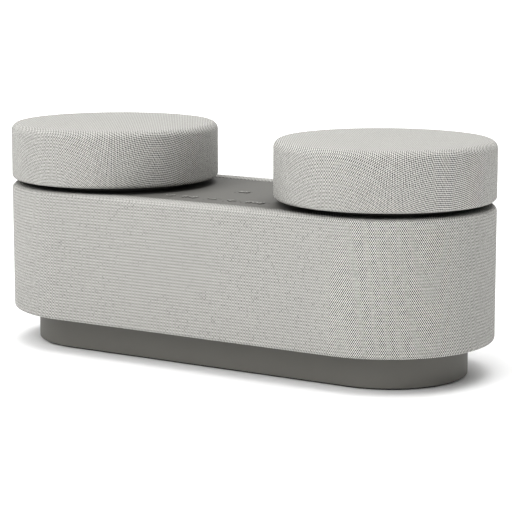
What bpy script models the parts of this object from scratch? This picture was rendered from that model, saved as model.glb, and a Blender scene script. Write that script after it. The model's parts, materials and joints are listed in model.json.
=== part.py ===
"""A smart speaker: a long fabric-covered body on an inset plinth, with two round satellite speakers
docked on its top. Every separate piece is its own object.

Frame: origin on the floor under the middle of the body, +X along its length, -Y towards the listener,
+Z up. All sizes are in metres.
"""

import math

import bmesh
import bpy
from mathutils import Matrix, Vector

# ---- overall sizes ----
BODY_LENGTH = 0.3060
BODY_DEPTH = 0.1230
BODY_HEIGHT = 0.0744
PLINTH_HEIGHT = 0.0200
SATELLITE_DIAMETER = 0.1230
SATELLITE_HEIGHT = 0.0328
DOCK_GAP = 0.0033

# ---- gaps between pieces ----
FIT = 0.0003
WALL_GAP = 0.0004

# ---- fabric covers and the frames that they are stretched over ----
FABRIC = 0.0012
BODY_TOP_ROUND = 0.0027
BODY_LOW_ROUND = 0.0020
BODY_TOP_HEM = 0.0135
BODY_LOW_HEM = 0.0100
SATELLITE_TOP_ROUND = 0.0045
SATELLITE_LOW_ROUND = 0.0022
SATELLITE_HEM = 0.0080
FRAME_WALL = 0.0018
SLOT_WIDTH = 0.0070
SLOT_RIB = 0.0030
SATELLITE_SLOTS = 8
SLOT_HUB_SHARE = 0.2

# ---- plinth and foot ----
PLINTH_INSET_ENDS = 0.01435
PLINTH_INSET_SIDES = 0.0166
PLINTH_WALL = 0.0025
PLINTH_FLOOR = 0.0032
PLINTH_LIFT = 0.0009
PLINTH_EDGE = 0.0005
FOOT_PAD_INSET = 0.0019
FOOT_PAD_WIDTH = 0.0120
FOOT_PAD_HEIGHT = 0.0018

# ---- sealed cabinet and its lid ----
CABINET_WALL = 0.0025
LID_THICKNESS = 0.0025
TRAY_DEPTH = 0.0060
TRAY_SIDE = 0.0023

# ---- control panel and keys ----
PANEL_SETBACK = 0.0003
PANEL_THICKNESS = 0.0025
PANEL_EDGE = 0.0003
PANEL_SKIRT = 0.0018
DOCK_RIM = 0.0022
DOCK_RECESS = 0.0006
DOCK_CLEARANCE = 0.0012
KEY_RADIUS = 0.0050
KEY_GAP = 0.0002
KEY_FLANGE = 0.0006
KEY_FLANGE_HEIGHT = 0.0008
KEY_STEM_RADIUS = 0.0015
KEY_ROW_INSET = 0.0137
PLAY_KEY_SETBACK = 0.0330
DOCK_KEY_GAP = 0.0010
KEY_TRAVEL = 0.0004
SWITCH_GAP = 0.0007
SWITCH_SIDE = 0.0045
BOARD = 0.0016
BOARD_MARGIN = 0.0050

# ---- loudspeakers ----
DRIVER_CLEARANCE = 0.0040
DRIVER_MARGIN = 0.0015
FLANGE = 0.0020
FLANGE_RIM = 0.0045
SURROUND_WIDTH = 0.0055
SURROUND_SKIN = 0.0006
CONE_GAP = 0.0003
CONE_SKIN = 0.0008
CONE_DEPTH = 0.0080
COIL_RADIUS = 0.0052
COIL_SKIN = 0.0007
BASKET_DEPTH = 0.0200
BASKET_SKIN = 0.0014
MAGNET_RADIUS = 0.0160
MAGNET_HEIGHT = 0.0110
MAGNET_SLOT = 0.0085
SATELLITE_DRIVER_RADIUS = 0.0340
SATELLITE_BASKET_DEPTH = 0.0125
SATELLITE_MAGNET_HEIGHT = 0.0085
ROOF_CLEARANCE = 0.0038

# ---- fasteners, magnets, contacts and boards ----
SCREW_RADIUS = 0.0015
SCREW_HEAD_RADIUS = 0.0029
SCREW_HEAD_HEIGHT = 0.0016
SCREW_BITE = 0.0050
SCREW_INSET = 0.0220
SCREW_SLOT_LENGTH = 0.0034
SCREW_SLOT_WIDTH = 0.0008
SCREW_SLOT_DEPTH = 0.0008
BOSS_WALL = 0.0022
DOCK_MAGNET_RADIUS = 0.0150
DOCK_MAGNET_BORE = 0.0080
CONTACT_INSET = 0.0190
CONTACT_BLOCK = (0.0050, 0.0150, 0.0030)
CONTACT_PIN_RADIUS = 0.0009
CONTACT_PIN_PITCH = 0.0040
CONTACT_PROUD = 0.0002
BATTERY_LENGTH = 0.1500
BATTERY_SIDE_MARGIN = 0.0090
BATTERY_CORNER = 0.0040
MAIN_BOARD = (0.0800, 0.0260)
BOARD_STANDOFF = 0.0040
SOCKET = (0.0090, 0.0085, 0.0034)
SOCKET_WALL = 0.0004
SOCKET_CORNER = 0.0012
SOCKET_TONGUE = 0.0063
SATELLITE_BATTERY_WIDTH = 0.0400
SATELLITE_BATTERY_HEIGHT = 0.0090
SATELLITE_BATTERY_CORNER = 0.0020

# ---- how finely round shapes are divided ----
HALF_TURN_STEPS = 12
SMALL_STEPS = 12
ROLL_STEPS = 3
PIN_STEPS = 8
CORNER_STEPS = 2
SMOOTH_ANGLE = math.radians(35)
JOIN_WITHIN = 0.00001

# ---- sizes that follow from the ones above ----
BODY_RADIUS = BODY_DEPTH / 2
END_X = BODY_LENGTH / 2 - BODY_RADIUS
BODY_LOW = PLINTH_HEIGHT
BODY_TOP = PLINTH_HEIGHT + BODY_HEIGHT
FRAME_RADIUS = BODY_RADIUS - FABRIC - FIT
FRAME_LOW = BODY_LOW + FABRIC + FIT
FRAME_TOP = BODY_TOP - FABRIC - FIT
CABINET_RADIUS = FRAME_RADIUS - FRAME_WALL - WALL_GAP
CABINET_SHELF = FRAME_LOW + FRAME_WALL + WALL_GAP
CABINET_INNER = CABINET_RADIUS - CABINET_WALL
CABINET_FLOOR = CABINET_SHELF + CABINET_WALL
LID_TOP = FRAME_TOP - FRAME_WALL - FIT
CABINET_TOP = LID_TOP - LID_THICKNESS - FIT
PEDESTAL_RADIUS = BODY_RADIUS - BODY_LOW_HEM - WALL_GAP
PANEL_RADIUS = BODY_RADIUS - BODY_TOP_HEM - FIT
PANEL_TOP = BODY_TOP - PANEL_SETBACK
PANEL_UNDER = PANEL_TOP - PANEL_THICKNESS
TRAY_FLOOR = LID_TOP - TRAY_DEPTH
DOCK_FLOOR = PANEL_TOP - DOCK_RECESS
PLINTH_RADIUS = BODY_RADIUS - PLINTH_INSET_SIDES
PLINTH_END_X = BODY_LENGTH / 2 - PLINTH_INSET_ENDS - PLINTH_RADIUS
PLINTH_TOP = PLINTH_HEIGHT - FIT
PLINTH_DECK = PLINTH_LIFT + PLINTH_FLOOR
PLINTH_INNER = PLINTH_RADIUS - PLINTH_WALL
SCREW_X = PLINTH_END_X + SCREW_INSET / 2
DRIVER_RADIUS = (CABINET_TOP - CABINET_FLOOR) / 2 - DRIVER_CLEARANCE
DRIVER_X = END_X - DRIVER_RADIUS - DRIVER_MARGIN
DRIVER_Y = CABINET_INNER - FIT
DRIVER_Z = (CABINET_TOP + CABINET_FLOOR) / 2
SATELLITE_RADIUS = SATELLITE_DIAMETER / 2
SATELLITE_LOW = BODY_TOP + DOCK_GAP

# The front row of keys, left to right: name, half of its straight, clear gap from its left neighbour.
KEY_ROW = (
    ("power_key", 0.0, 0.0),
    ("pairing_key", 0.0, 0.0018),
    ("volume_down_key", 0.0, 0.0038),
    ("volume_up_key", 0.0, 0.0018),
    ("sound_field_key", 0.0035, 0.0008),
)
MIDDLE_KEY = "volume_down_key"
KEY_ROW_Y = -(PANEL_RADIUS - KEY_ROW_INSET)
SIDES = (("left", -1), ("right", 1))


def key_places():
    """Each key's name, its place and half of its straight. The row's middle key is at X = 0."""
    along = 0.0
    reach = 0.0
    row = {}
    for name, half, gap in KEY_ROW:
        along += reach + gap + half + KEY_RADIUS + KEY_FLANGE
        reach = half + KEY_RADIUS + KEY_FLANGE
        row[name] = (along, half)
    middle = row[MIDDLE_KEY][0]
    places = {name: (x - middle, KEY_ROW_Y, half) for name, (x, half) in row.items()}
    places["play_key"] = (0.0, KEY_ROW_Y + PLAY_KEY_SETBACK, 0.0)
    return places


def dock_radius():
    """The dock's round recess stays inside the panel's edge and clear of the nearest key."""
    to_keys = [math.hypot(END_X - abs(x) - half, y) for x, y, half in key_places().values()]
    clear_of_keys = min(to_keys) - KEY_RADIUS - KEY_FLANGE - DOCK_KEY_GAP
    return min(PANEL_RADIUS - DOCK_RIM, clear_of_keys)


DOCK_RADIUS = dock_radius()


# ---- building helpers ----
def clear_scene():
    for obj in list(bpy.data.objects):
        bpy.data.objects.remove(obj, do_unlink=True)


def new_collection(name):
    made = bpy.data.collections.new(name)
    bpy.context.scene.collection.children.link(made)
    return made


def finish_of(name, colour, roughness, metallic=0.0):
    """A Principled material."""
    made = bpy.data.materials.new(name)
    made.use_nodes = True
    shader = made.node_tree.nodes["Principled BSDF"]
    shader.inputs["Base Color"].default_value = (*colour, 1.0)
    shader.inputs["Roughness"].default_value = roughness
    shader.inputs["Metallic"].default_value = metallic
    made.diffuse_color = (*colour, 1.0)
    return made


def add_object(name, mesh, material, parent=None, at=(0, 0, 0), turn=(0, 0, 0)):
    obj = bpy.data.objects.new(name, mesh)
    PARTS.objects.link(obj)
    if material:
        mesh.materials.append(material)
    obj.parent = parent
    obj.location = at
    obj.rotation_euler = turn
    return obj


def mesh_from(name, bm):
    mesh = bpy.data.meshes.new(name)
    bm.to_mesh(mesh)
    bm.free()
    mesh.shade_smooth()
    mesh.set_sharp_from_angle(angle=SMOOTH_ANGLE)
    return mesh


def racetrack_mesh(name, half, profile, ring):
    """Carries a profile of (radius, height) points round two half circles joined by two straights.
    A ring's profile is closed. Any other shape's first and last loops are filled."""
    bm = bmesh.new()
    line = [bm.verts.new((-half, -radius, height)) for radius, height in profile]
    pairs = list(zip(line, line[1:]))
    if ring:
        pairs.append((line[-1], line[0]))
    moving = line + [bm.edges.new(pair) for pair in pairs]
    for centre_x, turn, steps, shift in (
        (0, 0, 1, 2 * half),
        (half, math.pi, HALF_TURN_STEPS, 0),
        (0, 0, 1, -2 * half),
        (-half, math.pi, HALF_TURN_STEPS, 0),
    ):
        swept = bmesh.ops.spin(
            bm,
            geom=moving,
            cent=(centre_x, 0, 0),
            axis=(0, 0, 1),
            dvec=(shift, 0, 0),
            angle=turn,
            steps=steps,
        )
        moving = swept["geom_last"]
    bmesh.ops.remove_doubles(bm, verts=bm.verts, dist=JOIN_WITHIN)
    if not ring:
        rims = [edge for edge in bm.edges if edge.is_boundary]
        bmesh.ops.holes_fill(bm, edges=rims, sides=0)
    bmesh.ops.recalc_face_normals(bm, faces=bm.faces)
    return mesh_from(name, bm)


def racetrack(name, half, profile, material, ring=False, **place):
    return add_object(name, racetrack_mesh(name, half, profile, ring), material, **place)


def turned(name, profile, material, ring=False, steps=SMALL_STEPS, **place):
    """A turned piece: a profile of (radius, height) points that runs down the outside, with a Screw."""
    mesh = bpy.data.meshes.new(name)
    count = len(profile)
    edges = [(i, i + 1) for i in range(count - 1)]
    if ring:
        edges.append((count - 1, 0))
    mesh.from_pydata([(radius, 0, height) for radius, height in profile], edges, [])
    obj = add_object(name, mesh, material, **place)
    screw = obj.modifiers.new("turn", "SCREW")
    screw.axis = "Z"
    screw.angle = 2 * math.pi
    screw.steps = steps
    screw.render_steps = steps
    screw.use_merge_vertices = True
    screw.merge_threshold = JOIN_WITHIN
    screw.use_smooth_shade = True
    return obj


def block(name, size, material, corner=0.0, **place):
    """A box with its centre at its origin, its upright edges rounded when corner is given."""
    bm = bmesh.new()
    bmesh.ops.create_cube(bm, size=1.0, matrix=Matrix.Diagonal((*size, 1.0)))
    if corner:
        upright = [e for e in bm.edges if abs(e.verts[0].co.z - e.verts[1].co.z) > size[2] / 2]
        bmesh.ops.bevel(
            bm, geom=upright, offset=corner, segments=CORNER_STEPS, profile=0.5, affect="EDGES"
        )
    return add_object(name, mesh_from(name, bm), material, **place)


def rod(name, radius, low, high, material=None, steps=SMALL_STEPS, **place):
    """A plain round bar along Z, from low to high."""
    bm = bmesh.new()
    bmesh.ops.create_cone(
        bm,
        cap_ends=True,
        segments=steps,
        radius1=radius,
        radius2=radius,
        depth=high - low,
        matrix=Matrix.Translation((0, 0, (low + high) / 2)),
    )
    return add_object(name, mesh_from(name, bm), material, **place)


def combine(obj, tool, operation):
    """Cuts the tool from the object, or joins it on. The tool stays in the cutters' collection."""
    PARTS.objects.unlink(tool)
    CUTTERS.objects.link(tool)
    tool.hide_render = True
    tool.display_type = "WIRE"
    boolean = obj.modifiers.new(tool.name, "BOOLEAN")
    boolean.operation = operation
    boolean.solver = "EXACT"
    boolean.object = tool


def arc(centre, radius, start, end, steps):
    """Points on an arc in the profile's plane. Angles in degrees, 0 outwards and 90 up."""
    points = []
    for i in range(steps + 1):
        angle = math.radians(start + (end - start) * i / steps)
        points.append((centre[0] + radius * math.cos(angle), centre[1] + radius * math.sin(angle)))
    return points


def inner_corner(radius, level, corner_round, thickness, way):
    """The inside of a cover's corner: an arc as thick as the cover, or a point where that leaves none."""
    rest = corner_round - thickness
    if rest <= 0:
        return [(radius - thickness, level + way * thickness)]
    centre = (radius - corner_round, level + way * corner_round)
    start = -90 if way > 0 else 0
    return arc(centre, rest, start, start + 90, CORNER_STEPS)


def skin_profile(radius, low, top, low_round, top_round, low_hem, top_hem, thickness):
    """The section of a thin cover: down the outside from the top hem to the low hem, and back inside.
    With no top hem it starts and ends on the axis."""
    top_edge = radius - top_hem if top_hem else 0.0
    low_edge = radius - low_hem
    outside = [(top_edge, top)]
    outside += arc((radius - top_round, top - top_round), top_round, 90, 0, CORNER_STEPS)
    outside += arc((radius - low_round, low + low_round), low_round, 0, -90, CORNER_STEPS)
    outside.append((low_edge, low))
    inside = [(low_edge, low + thickness)]
    inside += inner_corner(radius, low, low_round, thickness, 1)
    inside += inner_corner(radius, top, top_round, thickness, -1)
    inside.append((top_edge, top - thickness))
    return outside + inside


# ---- the plinth, its rubber pad and its screws ----
def screw_places():
    return [(x * SCREW_X, y * SCREW_INSET) for x in (-1, 1) for y in (-1, 1)]


def make_foot_pad():
    outer = PLINTH_RADIUS - FOOT_PAD_INSET
    inner = outer - FOOT_PAD_WIDTH
    section = [(outer, FOOT_PAD_HEIGHT), (outer, 0), (inner, 0), (inner, FOOT_PAD_HEIGHT)]
    racetrack("rubber_foot_pad", PLINTH_END_X, section, RUBBER, ring=True)


def make_plinth():
    groove_out = PLINTH_RADIUS - FOOT_PAD_INSET + FIT
    groove_in = groove_out - FOOT_PAD_WIDTH - 2 * FIT
    groove_top = FOOT_PAD_HEIGHT + FIT
    section = [
        (groove_in, PLINTH_LIFT),
        (groove_in, groove_top),
        (groove_out, groove_top),
        (groove_out, PLINTH_LIFT),
        (PLINTH_RADIUS - PLINTH_EDGE, PLINTH_LIFT),
        (PLINTH_RADIUS, PLINTH_LIFT + PLINTH_EDGE),
        (PLINTH_RADIUS, PLINTH_TOP),
        (PLINTH_INNER, PLINTH_TOP),
        (PLINTH_INNER, PLINTH_DECK),
    ]
    plinth = racetrack("plinth", PLINTH_END_X, section, DARK_GREY)
    boss = SCREW_RADIUS + FIT + BOSS_WALL
    for i, (x, y) in enumerate(screw_places(), 1):
        place = {"at": (x, y, 0)}
        tube = rod(f"plinth_boss_{i}", boss, PLINTH_DECK - FIT, PLINTH_TOP, **place)
        combine(plinth, tube, "UNION")
        hole = rod(f"plinth_hole_{i}", SCREW_RADIUS + FIT, -FIT, PLINTH_HEIGHT, **place)
        combine(plinth, hole, "DIFFERENCE")
        seat = PLINTH_LIFT + SCREW_HEAD_HEIGHT + 2 * FIT
        sink = rod(f"plinth_sink_{i}", SCREW_HEAD_RADIUS + FIT, -FIT, seat, **place)
        combine(plinth, sink, "DIFFERENCE")
    mouth_size = (SOCKET[0] + 2 * FIT, 4 * PLINTH_WALL, SOCKET[2] + 2 * FIT)
    mouth = block("socket_mouth", mouth_size, None, at=(0, PLINTH_RADIUS, socket_height()))
    combine(plinth, mouth, "DIFFERENCE")


def make_screws():
    """Pan-head screws driven up through the plinth into the cabinet."""
    head_low = PLINTH_LIFT + FIT
    head_top = head_low + SCREW_HEAD_HEIGHT
    tip = BODY_LOW + SCREW_BITE
    section = [
        (0, tip),
        (SCREW_RADIUS, tip - SCREW_RADIUS),
        (SCREW_RADIUS, head_top),
        (SCREW_HEAD_RADIUS, head_top),
        (SCREW_HEAD_RADIUS, head_low + PLINTH_EDGE),
        (SCREW_HEAD_RADIUS - PLINTH_EDGE, head_low),
        (0, head_low),
    ]
    for i, (x, y) in enumerate(screw_places(), 1):
        screw = turned(f"plinth_screw_{i}", section, STEEL, at=(x, y, 0))
        size = (SCREW_SLOT_LENGTH, SCREW_SLOT_WIDTH, 2 * SCREW_SLOT_DEPTH)
        for turn in (0, math.pi / 2):
            place = {"at": (x, y, head_low), "turn": (0, 0, turn)}
            combine(screw, block(f"screw_slot_{i}", size, None, **place), "DIFFERENCE")


# ---- the power parts inside the plinth ----
def board_rear():
    return PLINTH_INNER - 4 * FIT


def socket_height():
    return PLINTH_DECK + BOARD_STANDOFF + BOARD + FIT + SOCKET[2] / 2


def make_power_parts():
    board_z = PLINTH_DECK + BOARD_STANDOFF + BOARD / 2
    board_y = board_rear() - MAIN_BOARD[1] / 2
    size = (*MAIN_BOARD, BOARD)
    block("main_board", size, BOARD_GREEN, at=(0, board_y, board_z))
    battery_front = -(PLINTH_INNER - BATTERY_SIDE_MARGIN)
    battery_back = board_rear() - MAIN_BOARD[1] - BOARD_STANDOFF
    battery_low = PLINTH_DECK + FIT
    battery_high = PLINTH_TOP - PLINTH_WALL
    size = (BATTERY_LENGTH, battery_back - battery_front, battery_high - battery_low)
    middle = (0, (battery_front + battery_back) / 2, (battery_low + battery_high) / 2)
    block("battery_pack", size, BLUE_FILM, corner=BATTERY_CORNER, at=middle)


def make_charging_socket():
    """A flat reversible power inlet: a steel sleeve that is open to the rear."""
    back_y = PLINTH_RADIUS - 2 * FIT
    middle = (0, back_y - SOCKET[1] / 2, socket_height())
    socket = block("charging_socket", SOCKET, STEEL, corner=SOCKET_CORNER, at=middle)
    hollow = (SOCKET[0] - 2 * SOCKET_WALL, SOCKET[1], SOCKET[2] - 2 * SOCKET_WALL)
    place = (0, back_y - SOCKET[1] / 2 + 4 * SOCKET_WALL, socket_height())
    corner = SOCKET_CORNER - SOCKET_WALL
    combine(socket, block("socket_hollow", hollow, None, corner=corner, at=place), "DIFFERENCE")
    tongue = (SOCKET_TONGUE, SOCKET[1] - 3 * SOCKET_WALL, 2 * SOCKET_WALL)
    place = (0, back_y - SOCKET[1] / 2 - SOCKET_WALL, socket_height())
    combine(socket, block("socket_tongue", tongue, None, at=place), "UNION")


# ---- the sealed cabinet, its lid, the frame round it and the fabric ----
def make_cabinet():
    pedestal_inner = PEDESTAL_RADIUS - CABINET_WALL
    section = [
        (PEDESTAL_RADIUS, BODY_LOW),
        (PEDESTAL_RADIUS, CABINET_SHELF),
        (CABINET_RADIUS, CABINET_SHELF),
        (CABINET_RADIUS, CABINET_TOP),
        (CABINET_INNER, CABINET_TOP),
        (CABINET_INNER, CABINET_FLOOR),
        (pedestal_inner, CABINET_FLOOR),
        (pedestal_inner, BODY_LOW + CABINET_WALL),
    ]
    cabinet = racetrack("cabinet", END_X, section, BLACK)
    boss = SCREW_RADIUS + FIT + BOSS_WALL
    boss_top = BODY_LOW + SCREW_BITE + CABINET_WALL
    for i, (x, y) in enumerate(screw_places(), 1):
        place = {"at": (x, y, 0)}
        tube = rod(f"cabinet_boss_{i}", boss, BODY_LOW + CABINET_WALL / 2, boss_top, **place)
        combine(cabinet, tube, "UNION")
        depth = BODY_LOW + SCREW_BITE + FIT
        hole = rod(f"cabinet_hole_{i}", SCREW_RADIUS + FIT, 0, depth, **place)
        combine(cabinet, hole, "DIFFERENCE")
    port = DRIVER_RADIUS - FLANGE_RIM
    for side, sign in SIDES:
        for face, way in (("driver", -1), ("radiator", 1)):
            place = (sign * DRIVER_X, way * CABINET_RADIUS, DRIVER_Z)
            turn = (math.pi / 2, 0, 0)
            reach = 2 * CABINET_WALL
            hole = rod(f"{side}_{face}_port", port, -reach, reach, at=place, turn=turn)
            combine(cabinet, hole, "DIFFERENCE")


def make_cabinet_lid():
    """The lid is a tray: the panel, its boards and the dock magnets sit down in it."""
    tray_outer = PANEL_RADIUS - FIT + TRAY_SIDE
    tray_inner = PANEL_RADIUS - FIT
    lid_low = LID_TOP - LID_THICKNESS
    section = [
        (tray_outer, TRAY_FLOOR - LID_THICKNESS),
        (tray_outer, lid_low),
        (CABINET_RADIUS, lid_low),
        (CABINET_RADIUS, LID_TOP),
        (tray_inner, LID_TOP),
        (tray_inner, TRAY_FLOOR),
    ]
    racetrack("cabinet_lid", END_X, section, BLACK)


def make_grille_frame():
    section = skin_profile(
        FRAME_RADIUS,
        FRAME_LOW,
        FRAME_TOP,
        BODY_LOW_ROUND - FABRIC - FIT,
        BODY_TOP_ROUND - FABRIC - FIT,
        BODY_LOW_HEM - FABRIC,
        BODY_TOP_HEM - FABRIC - 2 * FIT,
        FRAME_WALL,
    )
    frame = racetrack("grille_frame", END_X, section, BLACK, ring=True)
    pitch = SLOT_WIDTH + SLOT_RIB
    count = int(2 * (DRIVER_RADIUS - FLANGE_RIM) / pitch) + 1
    size = (SLOT_WIDTH, 4 * FRAME_WALL, 2 * (DRIVER_RADIUS - FLANGE_RIM))
    for side, sign in SIDES:
        for face, way in (("front", -1), ("rear", 1)):
            for i in range(count):
                x = sign * DRIVER_X + (i - (count - 1) / 2) * pitch
                place = (x, way * FRAME_RADIUS, DRIVER_Z)
                slot = block(f"{side}_{face}_slot_{i}", size, None, at=place)
                combine(frame, slot, "DIFFERENCE")


def make_fabric_sleeve():
    section = skin_profile(
        BODY_RADIUS,
        BODY_LOW,
        BODY_TOP,
        BODY_LOW_ROUND,
        BODY_TOP_ROUND,
        BODY_LOW_HEM,
        BODY_TOP_HEM,
        FABRIC,
    )
    racetrack("fabric_sleeve", END_X, section, KNIT, ring=True)


# ---- the control panel, its keys and its board ----
def make_control_panel():
    skirt_outer = PANEL_RADIUS - 2 * FIT
    skirt_inner = skirt_outer - PANEL_SKIRT
    section = [
        (PANEL_RADIUS - PANEL_EDGE, PANEL_TOP),
        (PANEL_RADIUS, PANEL_TOP - PANEL_EDGE),
        (PANEL_RADIUS, PANEL_UNDER),
        (skirt_outer, PANEL_UNDER),
        (skirt_outer, TRAY_FLOOR + FIT),
        (skirt_inner, TRAY_FLOOR + FIT),
        (skirt_inner, PANEL_UNDER),
    ]
    panel = racetrack("control_panel", END_X, section, MID_GREY)
    reach = 2 * PANEL_THICKNESS
    hole = [(KEY_RADIUS + KEY_GAP, -reach), (KEY_RADIUS + KEY_GAP, reach)]
    for name, (x, y, half) in key_places().items():
        cutter = key_shape(name + "_hole", half, hole, None, (x, y, PANEL_TOP))
        combine(panel, cutter, "DIFFERENCE")
    for side, sign in SIDES:
        place = {"at": (sign * END_X, 0, 0)}
        recess = rod(
            side + "_recess",
            DOCK_RADIUS,
            DOCK_FLOOR,
            BODY_TOP + DOCK_GAP,
            steps=2 * HALF_TURN_STEPS,
            **place,
        )
        combine(panel, recess, "DIFFERENCE")
        window = (CONTACT_BLOCK[0] + 2 * FIT, CONTACT_BLOCK[1] + 2 * FIT, 4 * PANEL_THICKNESS)
        place = (sign * contact_x(), 0, DOCK_FLOOR)
        cutter = block(side + "_contact_window", window, None, at=place)
        combine(panel, cutter, "DIFFERENCE")


def key_shape(name, half, profile, material, place):
    """A round key, or one with round ends where it has a straight, on its own travel axis."""
    if half:
        return racetrack(name, half, profile, material, at=place)
    capped = [(0, profile[-1][1])] + profile[::-1] + [(0, profile[0][1])]
    return turned(name, capped, material, at=place)


def make_keys():
    flange_top = PANEL_UNDER - WALL_GAP - PANEL_TOP
    flange_low = flange_top - KEY_FLANGE_HEIGHT
    stem_low = switch_top() + SWITCH_GAP - PANEL_TOP
    section = [
        (KEY_STEM_RADIUS, stem_low),
        (KEY_STEM_RADIUS, flange_low),
        (KEY_RADIUS + KEY_FLANGE, flange_low),
        (KEY_RADIUS + KEY_FLANGE, flange_top),
        (KEY_RADIUS, flange_top),
        (KEY_RADIUS, -PANEL_EDGE / 2),
        (KEY_RADIUS - PANEL_EDGE / 2, 0),
    ]
    for name, (x, y, half) in key_places().items():
        key_shape(name, half, section, MID_GREY, (x, y, PANEL_TOP))


def control_board_top():
    return TRAY_FLOOR + FIT + BOARD


def switch_top():
    return PANEL_UNDER - WALL_GAP - KEY_FLANGE_HEIGHT - SWITCH_GAP - KEY_TRAVEL


def make_control_board():
    """One board under all the keys, a raised switch under each."""
    places = key_places().values()
    front = min(y for _, y, _ in places) - BOARD_MARGIN
    back = max(y for _, y, _ in places) + BOARD_MARGIN
    reach = max(abs(x) for x, _, _ in places) + BOARD_MARGIN
    size = (2 * reach, back - front, BOARD)
    middle = (0, (front + back) / 2, control_board_top() - BOARD / 2)
    board = block("control_board", size, BOARD_GREEN, at=middle)
    height = switch_top() - control_board_top() + BOARD / 2
    for name, (x, y, _) in key_places().items():
        size = (SWITCH_SIDE, SWITCH_SIDE, height)
        switch = block(name + "_switch", size, None, at=(x, y, switch_top() - height / 2))
        combine(board, switch, "UNION")


# ---- docking magnets and charging contacts ----
def contact_x():
    return END_X - DOCK_RADIUS + CONTACT_INSET


def make_dock_parts():
    magnet_low = TRAY_FLOOR + FIT
    magnet_top = PANEL_UNDER - FIT
    ring = [
        (DOCK_MAGNET_RADIUS, magnet_top),
        (DOCK_MAGNET_RADIUS, magnet_low),
        (DOCK_MAGNET_BORE, magnet_low),
        (DOCK_MAGNET_BORE, magnet_top),
    ]
    pin_top = PANEL_TOP - DOCK_RECESS + CONTACT_PROUD
    for side, sign in SIDES:
        turned(side + "_dock_magnet", ring, STEEL, ring=True, at=(sign * END_X, 0, 0))
        middle = (sign * contact_x(), 0, DOCK_FLOOR - CONTACT_BLOCK[2] / 2)
        contacts = block(side + "_dock_contacts", CONTACT_BLOCK, BRASS, at=middle)
        for i in (-1, 0, 1):
            place = (sign * contact_x(), i * CONTACT_PIN_PITCH, 0)
            low = DOCK_FLOOR - CONTACT_BLOCK[2] / 2
            pin = rod(f"{side}_pin_{i + 2}", CONTACT_PIN_RADIUS, low, pin_top, steps=PIN_STEPS, at=place)
            combine(contacts, pin, "UNION")


# ---- loudspeakers: profiles in their own frame, facing +Z, with the flange's front at 0 ----
def basket_section(radius, plate_radius, depth):
    """A dished frame with a flange, open at the back for the voice coil."""
    mouth = radius - FLANGE_RIM
    back = MAGNET_RADIUS - BASKET_SKIN
    bore = COIL_RADIUS + COIL_SKIN + 2 * CONE_GAP
    return [
        (plate_radius, 0),
        (plate_radius, -FLANGE),
        (mouth + BASKET_SKIN, -FLANGE),
        (back, -depth),
        (bore, -depth),
        (bore, BASKET_SKIN - depth),
        (back - BASKET_SKIN / 2, BASKET_SKIN - depth),
        (mouth, -FLANGE),
        (mouth, 0),
    ]


def magnet_section(depth, height):
    """The magnet with its pole in the middle and the slot that the voice coil moves in."""
    top = -depth - FIT
    slot_out = COIL_RADIUS + COIL_SKIN + 2 * CONE_GAP
    slot_in = COIL_RADIUS - 2 * CONE_GAP
    floor = top - min(MAGNET_SLOT, height - BASKET_SKIN)
    return [
        (0, top),
        (slot_in, top),
        (slot_in, floor),
        (slot_out, floor),
        (slot_out, top),
        (MAGNET_RADIUS, top),
        (MAGNET_RADIUS, top - height),
        (0, top - height),
    ]


def cone_section(radius, depth, coil_end):
    """A paper cone with its dust cap and the voice coil's tube."""
    edge = radius - FLANGE_RIM - SURROUND_WIDTH - CONE_GAP
    waist = -depth
    outer = COIL_RADIUS + COIL_SKIN
    return [
        (0, waist + COIL_RADIUS / 2),
        (COIL_RADIUS, waist + COIL_SKIN),
        (edge, -CONE_SKIN),
        (edge, -2 * CONE_SKIN),
        (outer, waist - CONE_SKIN),
        (outer, coil_end),
        (COIL_RADIUS, coil_end),
        (COIL_RADIUS, waist - CONE_SKIN),
        (0, waist - CONE_SKIN),
    ]


def surround_section(radius):
    """A half roll of rubber between the frame's mouth and the cone's edge."""
    outer = radius - FLANGE_RIM - FIT
    inner = radius - FLANGE_RIM - SURROUND_WIDTH
    middle = (inner + outer) / 2
    roll = (outer - inner) / 2
    crest = arc((middle, -CONE_SKIN), roll, 180, 0, ROLL_STEPS)
    under = arc((middle, -CONE_SKIN - SURROUND_SKIN / 2), roll - SURROUND_SKIN, 0, 180, ROLL_STEPS)
    return crest + under


def radiator_section(radius):
    """A flat weighted plate, driven by the air in the cabinet and not by a coil."""
    edge = radius - FLANGE_RIM - SURROUND_WIDTH - CONE_GAP
    weight = edge / 2
    return [
        (0, -CONE_SKIN),
        (edge, -CONE_SKIN),
        (edge, -3 * CONE_SKIN),
        (weight, -3 * CONE_SKIN),
        (weight, -5 * CONE_SKIN),
        (0, -5 * CONE_SKIN),
    ]


def make_front_drivers():
    coil_end = -BASKET_DEPTH - FIT - MAGNET_SLOT / 2
    facing = (math.pi / 2, 0, 0)
    for side, sign in SIDES:
        place = {"at": (sign * DRIVER_X, -DRIVER_Y, DRIVER_Z), "turn": facing}
        basket = basket_section(DRIVER_RADIUS, DRIVER_RADIUS, BASKET_DEPTH)
        turned(side + "_driver_basket", basket, BLACK, ring=True, **place)
        magnet = magnet_section(BASKET_DEPTH, MAGNET_HEIGHT)
        turned(side + "_driver_magnet", magnet, STEEL, **place)
        cone = cone_section(DRIVER_RADIUS, CONE_DEPTH, coil_end)
        turned(side + "_driver_cone", cone, PAPER, **place)
        surround = surround_section(DRIVER_RADIUS)
        turned(side + "_driver_surround", surround, RUBBER, ring=True, **place)


def make_rear_radiators():
    facing = (-math.pi / 2, 0, 0)
    for side, sign in SIDES:
        place = {"at": (sign * DRIVER_X, DRIVER_Y, DRIVER_Z), "turn": facing}
        turned(side + "_radiator_plate", radiator_section(DRIVER_RADIUS), PAPER, **place)
        surround = rim_surround_section(DRIVER_RADIUS)
        turned(side + "_radiator_surround", surround, RUBBER, ring=True, **place)


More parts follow.
